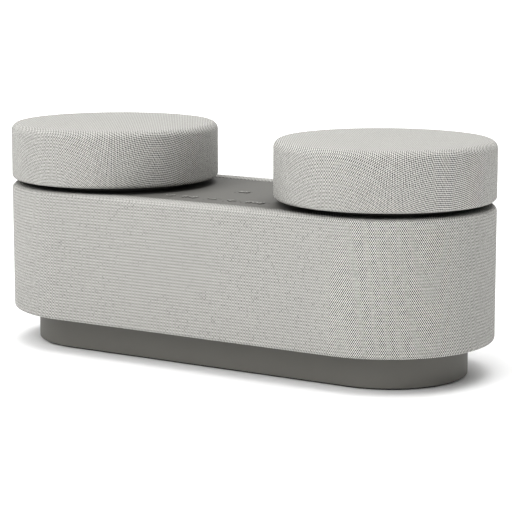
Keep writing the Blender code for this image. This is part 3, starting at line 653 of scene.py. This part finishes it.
bmesh.ops.rotate(seam_bm, verts=seam_bm.verts, matrix=Matrix.Rotation(math.pi, 3, "Z"))
seam = finished(
    "sleeve_seam",
    seam_bm,
    sleeve_knit,
    "speaker_body",
    ["fabric_sleeve"],
    CLOTH_SHARP,
)
print("sleeve", COLUMNS, "columns round, cloth height in mm", round(1000 * sleeve_run, 1))

# %% [markdown]
# ## The satellites' knit caps
# Each satellite wears a flat disc of the same knit, stretched over the top and down the side and
# tucked in underneath. Laying the cap's map out as that flat disc makes the rows cross the top
# in straight lines from side to side. At the front and back they run level on the wall, and they
# tilt more and more towards the sides, as they do on the real cap. The loops are drawn together
# a little on the way to the edge, so the map runs EDGE_TUCK further than the cap's section does.


# %% Build the caps
EDGE_TUCK = 0.0045
CAP_COLUMNS, CAP_ROWS = 785.0, 1060.0
CAP_TOP_ROUND, CAP_LOW_ROUND, CAP_HEM = 0.0045, 0.0022, 0.0080


def unroll_disc(bm, centre_x):
    run_layer = bm.verts.layers.float["run"]
    cloth_layer = bm.loops.layers.uv.new("cloth")
    for face in bm.faces:
        for loop in face.loops:
            spoke = Vector((loop.vert.co.x - centre_x, loop.vert.co.y))
            run = loop.vert[run_layer]
            run += EDGE_TUCK * min(run / SATELLITE_RADIUS, 1.0)
            flat = spoke.normalized() * run if spoke.length > 1e-7 else spoke
            loop[cloth_layer].uv = flat


for side, sign in SIDES:
    cap_bm = bmesh.new()
    cap_run = section_wire(
        cap_bm,
        (
            (0.0, SATELLITE_TOP, 0),
            (SATELLITE_RADIUS, SATELLITE_TOP, CAP_TOP_ROUND),
            (SATELLITE_RADIUS, SATELLITE_LOW, CAP_LOW_ROUND),
            (SATELLITE_RADIUS - CAP_HEM, SATELLITE_LOW, 0),
        ),
        sign * END_X,
    )
    turn_round(cap_bm, (sign * END_X, 0, 0))
    unroll_disc(cap_bm, sign * END_X)
    cap_knit = knit_material(
        side + "_cap_knit",
        CAP_COLUMNS,
        CAP_ROWS,
        opens_at=SATELLITE_RADIUS,
        opens_over=0.006,
        slack=2.4,
        gaping=0.2,
        along_body=False,
    )
    cap = finished(
        side + "_knit_cap",
        cap_bm,
        cap_knit,
        side + "_satellite",
        [side + "_satellite_fabric"],
        CLOTH_SHARP,
    )
    give_thickness(cap, FABRIC)

# %% [markdown]
# ## Moulded plastic
# The panel, keys and plinth are moulded with a fine spark-eroded grain, which keeps fingerprints
# down and turns reflections into a soft haze. The grain is one group: small round pits from a
# Voronoi texture over a finer noise. A second group marks the edges, where handling polishes the
# grain and lightens the colour a little: the Bevel node's rounded normal differs from the real
# one only near an edge.

# %% Build the grain and edge groups
grain, grain_in, grain_out = start_group(
    "moulded_grain",
    (("Place", VECTOR, None), ("Pitch", FLOAT, 0.0004), ("Depth", FLOAT, 1.0)),
    (("Height", FLOAT), ("Haze", FLOAT)),
)
per_metre = grain.maths("DIVIDE", 1.0, grain_in["Pitch"])
pits = grain.add(
    "ShaderNodeTexVoronoi",
    {"Vector": grain_in["Place"], "Scale": per_metre, "Randomness": 1.0},
    feature="SMOOTH_F1",
)
fine = grain.noise(grain_in["Place"], grain.maths("MULTIPLY", per_metre, 2.5), 2.0, 0.5)
surface = grain.maths("MULTIPLY_ADD", fine, 0.5, pits.outputs["Distance"])
grain.tree.links.new(grain.maths("MULTIPLY", surface, grain_in["Depth"]), grain_out["Height"])
grain.tree.links.new(grain.noise(grain_in["Place"], 35.0, 4.0, 0.5), grain_out["Haze"])

edges, edges_in, edges_out = start_group(
    "handled_edges",
    (("Place", VECTOR, None), ("Radius", FLOAT, 0.0006)),
    (("Edge", FLOAT),),
)
rounded = edges.add("ShaderNodeBevel", {"Radius": edges_in["Radius"]}, samples=4).outputs[0]
geometry = edges.add("ShaderNodeNewGeometry").outputs["Normal"]
same = edges.add("ShaderNodeVectorMath", {0: rounded, 1: geometry}, operation="DOT_PRODUCT")
off_flat = edges.smooth(same.outputs["Value"], 0.995, 0.90)
patches = edges.noise(edges_in["Place"], 90.0, 5.0, 0.5)
worn = edges.maths("MULTIPLY", off_flat, edges.smooth(patches, 0.35, 0.7))
edges.tree.links.new(worn, edges_out["Edge"])
print("grain and edges have", len(grain.tree.nodes), "and", len(edges.tree.nodes), "nodes")

# %% [markdown]
# ## The plastic and rubber finishes
# All the mouldings are one kind of plastic in different greys, and the pad is black rubber, so
# one function makes them all. It takes the colour and the roughness, and the two groups add the
# grain, a slightly uneven tone and the polished edges. Writing each out by hand would repeat the
# same graph.


# %% Make the plastic materials
def plastic(name, colour, roughness, pitch=0.0004, bump=0.25, wear=0.25, specular=0.4):
    """A grained plastic: its colour varies a little, and its edges are polished by handling."""
    made, shader = shader_material(name)
    graph = Graph(made.node_tree)
    place = graph.add("ShaderNodeTexCoord").outputs["Object"]
    skin = graph.add("ShaderNodeGroup", {"Place": place, "Pitch": pitch}, node_tree=grain.tree)
    rims = graph.add("ShaderNodeGroup", {"Place": place}, node_tree=edges.tree)
    darker = tuple(0.93 * c for c in colour) + (1,)
    lighter = tuple(1.07 * c for c in colour) + (1,)
    polished = tuple(min(1.0, 1.5 * c + 0.02) for c in colour) + (1,)
    base = graph.mix(skin.outputs["Haze"], darker, lighter)
    worn_edge = graph.maths("MULTIPLY", rims.outputs["Edge"], wear)
    made.node_tree.links.new(graph.mix(worn_edge, base, polished), shader.inputs["Base Color"])
    rough = graph.between(skin.outputs["Haze"], roughness - 0.05, roughness + 0.05)
    smoother = graph.maths("MULTIPLY", worn_edge, -0.25)
    made.node_tree.links.new(graph.maths("ADD", rough, smoother), shader.inputs["Roughness"])
    relief = graph.add(
        "ShaderNodeBump",
        {"Height": skin.outputs["Height"], "Strength": bump, "Distance": 0.00004},
    )
    made.node_tree.links.new(relief.outputs[0], shader.inputs["Normal"])
    shader.inputs["Specular IOR Level"].default_value = specular
    return made


PANEL_GREY = plastic("panel_grey", (0.103, 0.101, 0.092), 0.62)
FOOT_GREY = plastic("foot_grey", (0.115, 0.112, 0.100), 0.65)
# A lighter grey for the tops of the marks: a painted highlight, not a colour of their own.
MARK_TOP_HIGHLIGHT = plastic("mark_painted_highlight", (0.26, 0.256, 0.24), 0.5)
PLINTH_GREY = plastic("plinth_grey", (0.130, 0.126, 0.112), 0.6)
INNER_BLACK = plastic("inner_black", (0.034, 0.033, 0.030), 0.6, pitch=0.0006, wear=0.1)
RUBBER = plastic("pad_rubber", (0.020, 0.020, 0.019), 0.85, pitch=0.0007, bump=0.5, wear=0.0)

# %% [markdown]
# ## The control panel
# The panel is a moulded tray lid that sits 0.3 mm below the cloth's edge. It has a round recess
# at each end for a satellite's foot, and holes for the keys. The outline is one more racetrack
# sweep, this time from the middle line outwards, so it closes over the top. The recesses and key
# holes are cut with Boolean modifiers, which are applied at once, because the cutters must not
# stay in the model.

# %% Key sizes and cutting helpers
KEY_NAMES = (
    "power_key",
    "pairing_key",
    "volume_down_key",
    "volume_up_key",
    "sound_field_key",
    "play_key",
)
KEYS = {}
for name in KEY_NAMES:
    low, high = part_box(name)
    KEYS[name] = ((low + high) / 2, (high - low) / 2)
KEY_FLANGE = 0.0006
KEY_GAP = 0.0002
DOCK_RECESS, DOCK_GAP = 0.0006, 0.0012
DOCK_RADIUS = outline("left_satellite_foot")[1] + DOCK_GAP
CONTACT_GAP = 0.0006
PANEL_THICK, PANEL_EDGE, MOULDED_EDGE = 0.0025, 0.0004, 0.00012
PANEL_UNDER = PANEL_TOP - PANEL_THICK
CUT_PAST = 0.001


def key_outline(half_size):
    """A key's radius, and half of its straight, which a round key doesn't have."""
    straight = half_size.x - half_size.y
    return half_size.y - KEY_FLANGE, straight if straight > 1e-4 else 0.0


def cut_away(piece, cutter_bm):
    """Cuts the closed shape in cutter_bm out of the piece and keeps only the result."""
    bmesh.ops.recalc_face_normals(cutter_bm, faces=cutter_bm.faces)
    cutter = add_object("cutter", mesh_from(cutter_bm, "cutter"))
    boolean = piece.modifiers.new("cut", "BOOLEAN")
    boolean.object = cutter
    boolean.solver = "EXACT"
    bpy.context.view_layer.update()
    shaped = piece.evaluated_get(bpy.context.evaluated_depsgraph_get())
    result = bpy.data.meshes.new_from_object(shaped)
    piece.modifiers.clear()
    bpy.data.objects.remove(cutter)
    piece.data = result
    shade(result, PLASTIC_SHARP)


def slug(bm, centre, radius, half, low, high, steps=STEPS):
    """Adds a closed round or long-round plug to bm, to cut a hole with."""
    ring = bmesh.new()
    section_wire(ring, ((0, high, 0), (radius, high, 0), (radius, low, 0), (0, low, 0)), half)
    go_round(ring, half, steps)
    bmesh.ops.translate(ring, verts=ring.verts, vec=(centre[0], centre[1], 0))
    absorb(bm, ring)


print("keys:", ", ".join(KEYS))

# %% [markdown]
# ## Cutting the panel's openings
# On the real panel the mould leaves the openings. Here they are plugs, gathered into one mesh
# and cut out in a single Boolean: six keys with a thin gap round them, two docks, and a window
# over each strip of contacts. One cut gives cleaner edges than ten in a row, and a fine Bevel
# then breaks every edge.

# %% Build the panel
panel_bm = bmesh.new()
section_wire(
    panel_bm,
    (
        (0.0, PANEL_TOP, 0),
        (PANEL_RADIUS, PANEL_TOP, PANEL_EDGE),
        (PANEL_RADIUS, PANEL_UNDER, 0),
        (0.0, PANEL_UNDER, 0),
    ),
    END_X,
)
sweep_racetrack(panel_bm, END_X)
panel = finished(
    "panel_moulding", panel_bm, PANEL_GREY, "speaker_body", ["control_panel"]
)
cutters = bmesh.new()
above = PANEL_TOP + CUT_PAST
for middle, half_size in KEYS.values():
    radius, straight = key_outline(half_size)
    slug(cutters, middle, radius + KEY_GAP, straight, PANEL_UNDER - CUT_PAST, above)
for _, sign in SIDES:
    dock_middle = (sign * END_X, 0)
    slug(cutters, dock_middle, DOCK_RADIUS, 0.0, PANEL_TOP - DOCK_RECESS, above, 2 * STEPS)
for side, _ in SIDES:
    low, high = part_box(side + "_dock_contacts")
    size = high - low
    window = Matrix.Diagonal((size.x + CONTACT_GAP, size.y + CONTACT_GAP, 0.01, 1))
    middle = Matrix.Translation(((low.x + high.x) / 2, 0, PANEL_TOP))
    bmesh.ops.create_cube(cutters, size=1.0, matrix=middle @ window)
cut_away(panel, cutters)
soft_edges = panel.modifiers.new("moulded edges", "BEVEL")
soft_edges.width = MOULDED_EDGE
soft_edges.segments = 2
soft_edges.limit_method = "ANGLE"
soft_edges.angle_limit = math.radians(50)
print("panel", len(panel.data.polygons), "faces")

# %% [markdown]
# ## The keys and their raised marks
# The keys sit flush with the panel, with a gap too thin to notice, and each is found by touch:
# its mark stands up from the surface. The marks are plain signs that any player has. Each one is
# laid out from bars and arcs on a flat plane. An arc is a short edge spun round a centre, and
# all of them are then extruded upwards and their upper edges bevelled, so that they catch the
# light as moulded marks do.

# %% Mark shapes
MARK_HEIGHT, MARK_LINE = 0.00065, 0.0009
MARK_SUNK, MARK_EDGE = 0.0001, 0.00015
SIGN_LENGTH, SIGN_ARM, PAUSE_LENGTH = 0.0056, 0.0022, 0.0036


def bar(bm, x, y, length, width):
    """A flat bar with its middle at x, y."""
    size = Matrix.Diagonal((length / 2, width / 2, 1, 1))
    bmesh.ops.create_grid(
        bm, x_segments=1, y_segments=1, size=1.0, matrix=Matrix.Translation((x, y, 0)) @ size
    )


def bow(bm, x, y, radius, start, end, width=MARK_LINE):
    """A flat arc round x, y, from start to end in degrees, 0 to the right."""
    inner, outer = (
        bm.verts.new(
            (x + r * math.cos(math.radians(start)), y + r * math.sin(math.radians(start)), 0)
        )
        for r in (radius - width / 2, radius + width / 2)
    )
    edge = bm.edges.new((inner, outer))
    bmesh.ops.spin(
        bm,
        geom=[inner, outer, edge],
        cent=(x, y, 0),
        axis=(0, 0, 1),
        angle=math.radians(end - start),
        steps=max(6, int(abs(end - start) / 12)),
        use_merge=abs(end - start) >= 360,
    )


def dot(bm, x, y, radius, corners=20, turn=0.0):
    place = Matrix.Translation((x, y, 0)) @ Matrix.Rotation(turn, 4, "Z")
    bmesh.ops.create_circle(bm, cap_ends=True, segments=corners, radius=radius, matrix=place)


def draw_mark(bm, name):
    if name == "power_key":
        bow(bm, 0, -0.0002, 0.0024, 125, 415)
        bar(bm, 0, 0.0017, MARK_LINE, 0.0028)
    elif name == "pairing_key":
        dot(bm, 0, 0, 0.0008)
        for start in (-50, 130):
            bow(bm, 0, 0, 0.0023, start, start + 100)
            bow(bm, 0, 0, 0.0040, start + 8, start + 92)
    elif name == "volume_down_key":
        bar(bm, 0, 0, SIGN_LENGTH, MARK_LINE)
    elif name == "volume_up_key":
        bar(bm, 0, 0, SIGN_LENGTH, MARK_LINE)
        bar(bm, 0, 0.0017, MARK_LINE, SIGN_ARM)
        bar(bm, 0, -0.0017, MARK_LINE, SIGN_ARM)
    elif name == "sound_field_key":
        bow(bm, 0, 0, 0.0014, 0, 360)
        for start in (-45, 135):
            bow(bm, 0, 0, 0.0034, start, start + 90)
            bow(bm, 0, 0, 0.0050, start + 8, start + 82)
    else:
        dot(bm, -0.0012, 0, 0.0021, 3, math.radians(-90))
        bar(bm, 0.0015, 0, MARK_LINE, PAUSE_LENGTH)
        bar(bm, 0.0031, 0, MARK_LINE, PAUSE_LENGTH)


def raise_mark(bm, base, height):
    """Raises flat shapes, softens their top edges and gives their tops a painted highlight."""
    drawn = bmesh.ops.extrude_face_region(bm, geom=bm.faces[:])
    top = only(bmesh.types.BMVert, drawn["geom"])
    bmesh.ops.translate(bm, verts=top, vec=(0, 0, height))
    tidy(bm)
    upper = set(top)
    rim = [
        e
        for e in bm.edges
        if e.verts[0] in upper and e.verts[1] in upper and e.calc_face_angle(0) > 0.5
    ]
    bmesh.ops.bevel(
        bm,
        geom=rim,
        offset=MARK_EDGE,
        segments=2,
        profile=0.5,
        affect="EDGES",
        material=-1,
        clamp_overlap=True,
    )
    # Upward faces take the second material, the painted highlight on the marks' tops.
    for face in bm.faces:
        face.material_index = 1 if face.normal.z > 0.5 else 0
    bmesh.ops.translate(bm, verts=bm.verts, vec=base)


# %% [markdown]
# ## The key caps
# Each key is a cap on a stem, with a flange under the panel that keeps it from falling out. Cap,
# flange and stem are one turned section, so they are one mesh. Five keys are round and one is
# long, and the same section serves both, because it goes round a racetrack as easily as round a
# circle. The tops of the marks take a second, lighter material, which is a painted highlight where
# the light catches them.

# %% Build the keys
KEY_EDGE, KEY_STEM = 0.0002, 0.0015
FLANGE_TOP, FLANGE_LOW = PANEL_UNDER - 0.0004, PANEL_UNDER - 0.0012
for name, (middle, half_size) in KEYS.items():
    radius, straight = key_outline(half_size)
    key_bm = bmesh.new()
    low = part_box(name)[0].z
    section_wire(
        key_bm,
        (
            (0.0, PANEL_TOP, 0),
            (radius, PANEL_TOP, KEY_EDGE),
            (radius, FLANGE_TOP, 0),
            (radius + KEY_FLANGE, FLANGE_TOP, 0),
            (radius + KEY_FLANGE, FLANGE_LOW, 0),
            (KEY_STEM, FLANGE_LOW, 0),
            (KEY_STEM, low, 0),
            (0.0, low, 0),
        ),
        straight,
    )
    go_round(key_bm, straight, 48)
    bmesh.ops.translate(key_bm, verts=key_bm.verts, vec=(middle.x, middle.y, 0))
    mark_bm = bmesh.new()
    draw_mark(mark_bm, name)
    raise_mark(mark_bm, (middle.x, middle.y, PANEL_TOP - MARK_SUNK), MARK_HEIGHT + MARK_SUNK)
    absorb(key_bm, mark_bm)
    key = finished(name + "_cap", key_bm, PANEL_GREY, name, [name])
    # The second material is the painted highlight on the tops of the marks.
    key.data.materials.append(MARK_TOP_HIGHLIGHT)

# %% [markdown]
# ## The plinth and the rubber pad
# The plinth is a deep tub, open at the top, hidden under the body except for its wall. Its lower
# edge is broken with a small chamfer. A flat ring of rubber in a groove underneath lifts it by a
# hair, which is the thin dark line at the table. The wall goes round as one sweep, then the
# opening for the charging inlet and the four screw holes are cut.

# %% Build the plinth
WALL, DECK = 0.0025, 0.0032
FIT, PAD_WIDTH, PAD_EDGE = 0.0003, 0.0120, 0.0003
GROOVE_OUT = PAD_RADIUS + FIT
GROOVE_IN = PAD_RADIUS - PAD_WIDTH - FIT
GROOVE_TOP = PAD_TOP + FIT
plinth_bm = bmesh.new()
section_wire(
    plinth_bm,
    (
        (0.0, PLINTH_LOW + DECK, 0),
        (PLINTH_RADIUS - WALL, PLINTH_LOW + DECK, 0.0010),
        (PLINTH_RADIUS - WALL, PLINTH_TOP, 0),
        (PLINTH_RADIUS, PLINTH_TOP, 0.0003),
        (PLINTH_RADIUS, PLINTH_LOW, 0.0005),
        (GROOVE_OUT, PLINTH_LOW, 0),
        (GROOVE_OUT, GROOVE_TOP, 0),
        (GROOVE_IN, GROOVE_TOP, 0),
        (GROOVE_IN, PLINTH_LOW, 0),
        (0.0, PLINTH_LOW, 0),
    ),
    PLINTH_X,
)
sweep_racetrack(plinth_bm, PLINTH_X)
plinth = finished(
    "plinth_tub", plinth_bm, PLINTH_GREY, "speaker_body", ["plinth"]
)
SCREW_HEAD = 0.0022
holes = bmesh.new()
for number in range(1, 5):
    low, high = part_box(f"plinth_screw_{number}")
    centre = (low + high) / 2
    head = (high.y - low.y) / 2
    slug(holes, centre, head + FIT, 0.0, -CUT_PAST, low.z + SCREW_HEAD, STEPS // 2)
low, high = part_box("charging_socket")
mouth = Matrix.Diagonal((high.x - low.x + 2 * FIT, 0.02, high.z - low.z + 2 * FIT, 1))
mouth_at = Matrix.Translation((0, PLINTH_RADIUS, (low.z + high.z) / 2))
bmesh.ops.create_cube(holes, size=1.0, matrix=mouth_at @ mouth)
cut_away(plinth, holes)
print("plinth", len(plinth.data.polygons), "faces")

# %% [markdown]
# ## The rubber pad
# A ring of soft rubber keeps the speaker from sliding and from passing its hum to the table. It
# is a flat strip with two softened lower edges, so a section of four corners is swept round. The
# wire starts and ends at one point in the middle of the top, which closes the ring.

# %% Build the rubber pad
pad_bm = bmesh.new()
section_wire(
    pad_bm,
    (
        (PAD_RADIUS - PAD_WIDTH / 2, PAD_TOP, 0),
        (PAD_RADIUS, PAD_TOP, 0),
        (PAD_RADIUS, PAD_LOW, PAD_EDGE),
        (PAD_RADIUS - PAD_WIDTH, PAD_LOW, PAD_EDGE),
        (PAD_RADIUS - PAD_WIDTH, PAD_TOP, 0),
        (PAD_RADIUS - PAD_WIDTH / 2, PAD_TOP, 0),
    ),
    PAD_X,
)
sweep_racetrack(pad_bm, PAD_X)
finished(
    "rubber_pad_ring", pad_bm, RUBBER, "speaker_body", ["rubber_foot_pad"]
)

# %% [markdown]
# ## The rest of the parts
# The cabinet, drivers, magnets, boards and cells keep their CAD shape, which is right, and get
# their finish here. Metals share one short graph of fine brushed lines. Paper, film and boards
# share another of two colours in soft spots. The satellites' feet are a grey of their own, a
# little lighter than the panel.


# %% Finishes for the inner parts
def metal(name, colour, roughness, brushed=120.0):
    made, shader = shader_material(name)
    graph = Graph(made.node_tree)
    place = graph.add("ShaderNodeTexCoord").outputs["Object"]
    drawn = graph.add("ShaderNodeMapping", {"Vector": place, "Scale": (brushed, 4000.0, 4000.0)})
    lines = graph.noise(drawn.outputs[0], 1.0, 3.0)
    darker = tuple(0.85 * c for c in colour) + (1,)
    made.node_tree.links.new(
        graph.mix(lines, darker, tuple(colour) + (1,)), shader.inputs["Base Color"]
    )
    made.node_tree.links.new(
        graph.between(lines, roughness - 0.08, roughness + 0.12), shader.inputs["Roughness"]
    )
    relief = graph.add("ShaderNodeBump", {"Height": lines, "Strength": 0.2, "Distance": 0.00002})
    made.node_tree.links.new(relief.outputs[0], shader.inputs["Normal"])
    shader.inputs["Metallic"].default_value = 1.0
    return made


def spotted(name, first, second, scale, roughness, coat=0.0):
    """A surface of two colours in soft spots: paper pulp, printed film or a coated board."""
    made, shader = shader_material(name)
    graph = Graph(made.node_tree)
    place = graph.add("ShaderNodeTexCoord").outputs["Object"]
    spots = graph.noise(place, scale, 6.0, 0.65)
    made.node_tree.links.new(
        graph.mix(graph.smooth(spots, 0.35, 0.65), tuple(first) + (1,), tuple(second) + (1,)),
        shader.inputs["Base Color"],
    )
    relief = graph.add("ShaderNodeBump", {"Height": spots, "Strength": 0.3, "Distance": 0.00005})
    made.node_tree.links.new(relief.outputs[0], shader.inputs["Normal"])
    made.node_tree.links.new(
        graph.between(spots, roughness - 0.06, roughness + 0.06), shader.inputs["Roughness"]
    )
    shader.inputs["Coat Weight"].default_value = coat
    return made


FINISHES = {
    "inner_plastic": INNER_BLACK,
    "panel_plastic": PANEL_GREY,
    "plinth_plastic": PLINTH_GREY,
    "black_rubber": RUBBER,
    "plain_steel": metal("zinc_steel", (0.56, 0.56, 0.57), 0.34),
    "gold_contact": metal("gold_plate", (0.88, 0.66, 0.30), 0.24, 4000.0),
    "cone_paper": spotted(
        "pressed_paper", (0.030, 0.030, 0.032), (0.050, 0.050, 0.054), 900.0, 0.85
    ),
    "circuit_board": spotted(
        "solder_mask", (0.012, 0.10, 0.045), (0.020, 0.15, 0.07), 500.0, 0.35, 0.4
    ),
    "cell_film": spotted("cell_film", (0.03, 0.11, 0.32), (0.045, 0.15, 0.40), 300.0, 0.3, 0.3),
}
slots = {part["node"]: part["material_slot"] for part in frame["record"]["subparts"]}
for name, node in frame["nodes"].items():
    if node.hide_render:
        continue
    node.data.materials.clear()
    node.data.materials.append(FOOT_GREY if name.endswith("_foot") else FINISHES[slots[name]])
print("kept CAD parts:", sum(not node.hide_render for node in frame["nodes"].values()))

# %% [markdown]
# ## Measure and finish
# The looks must stay within the design's box, so the box of everything shown is printed in mm.

# %% Finish
low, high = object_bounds()
print("visual box in mm:", [round(1000 * side, 1) for side in high - low])
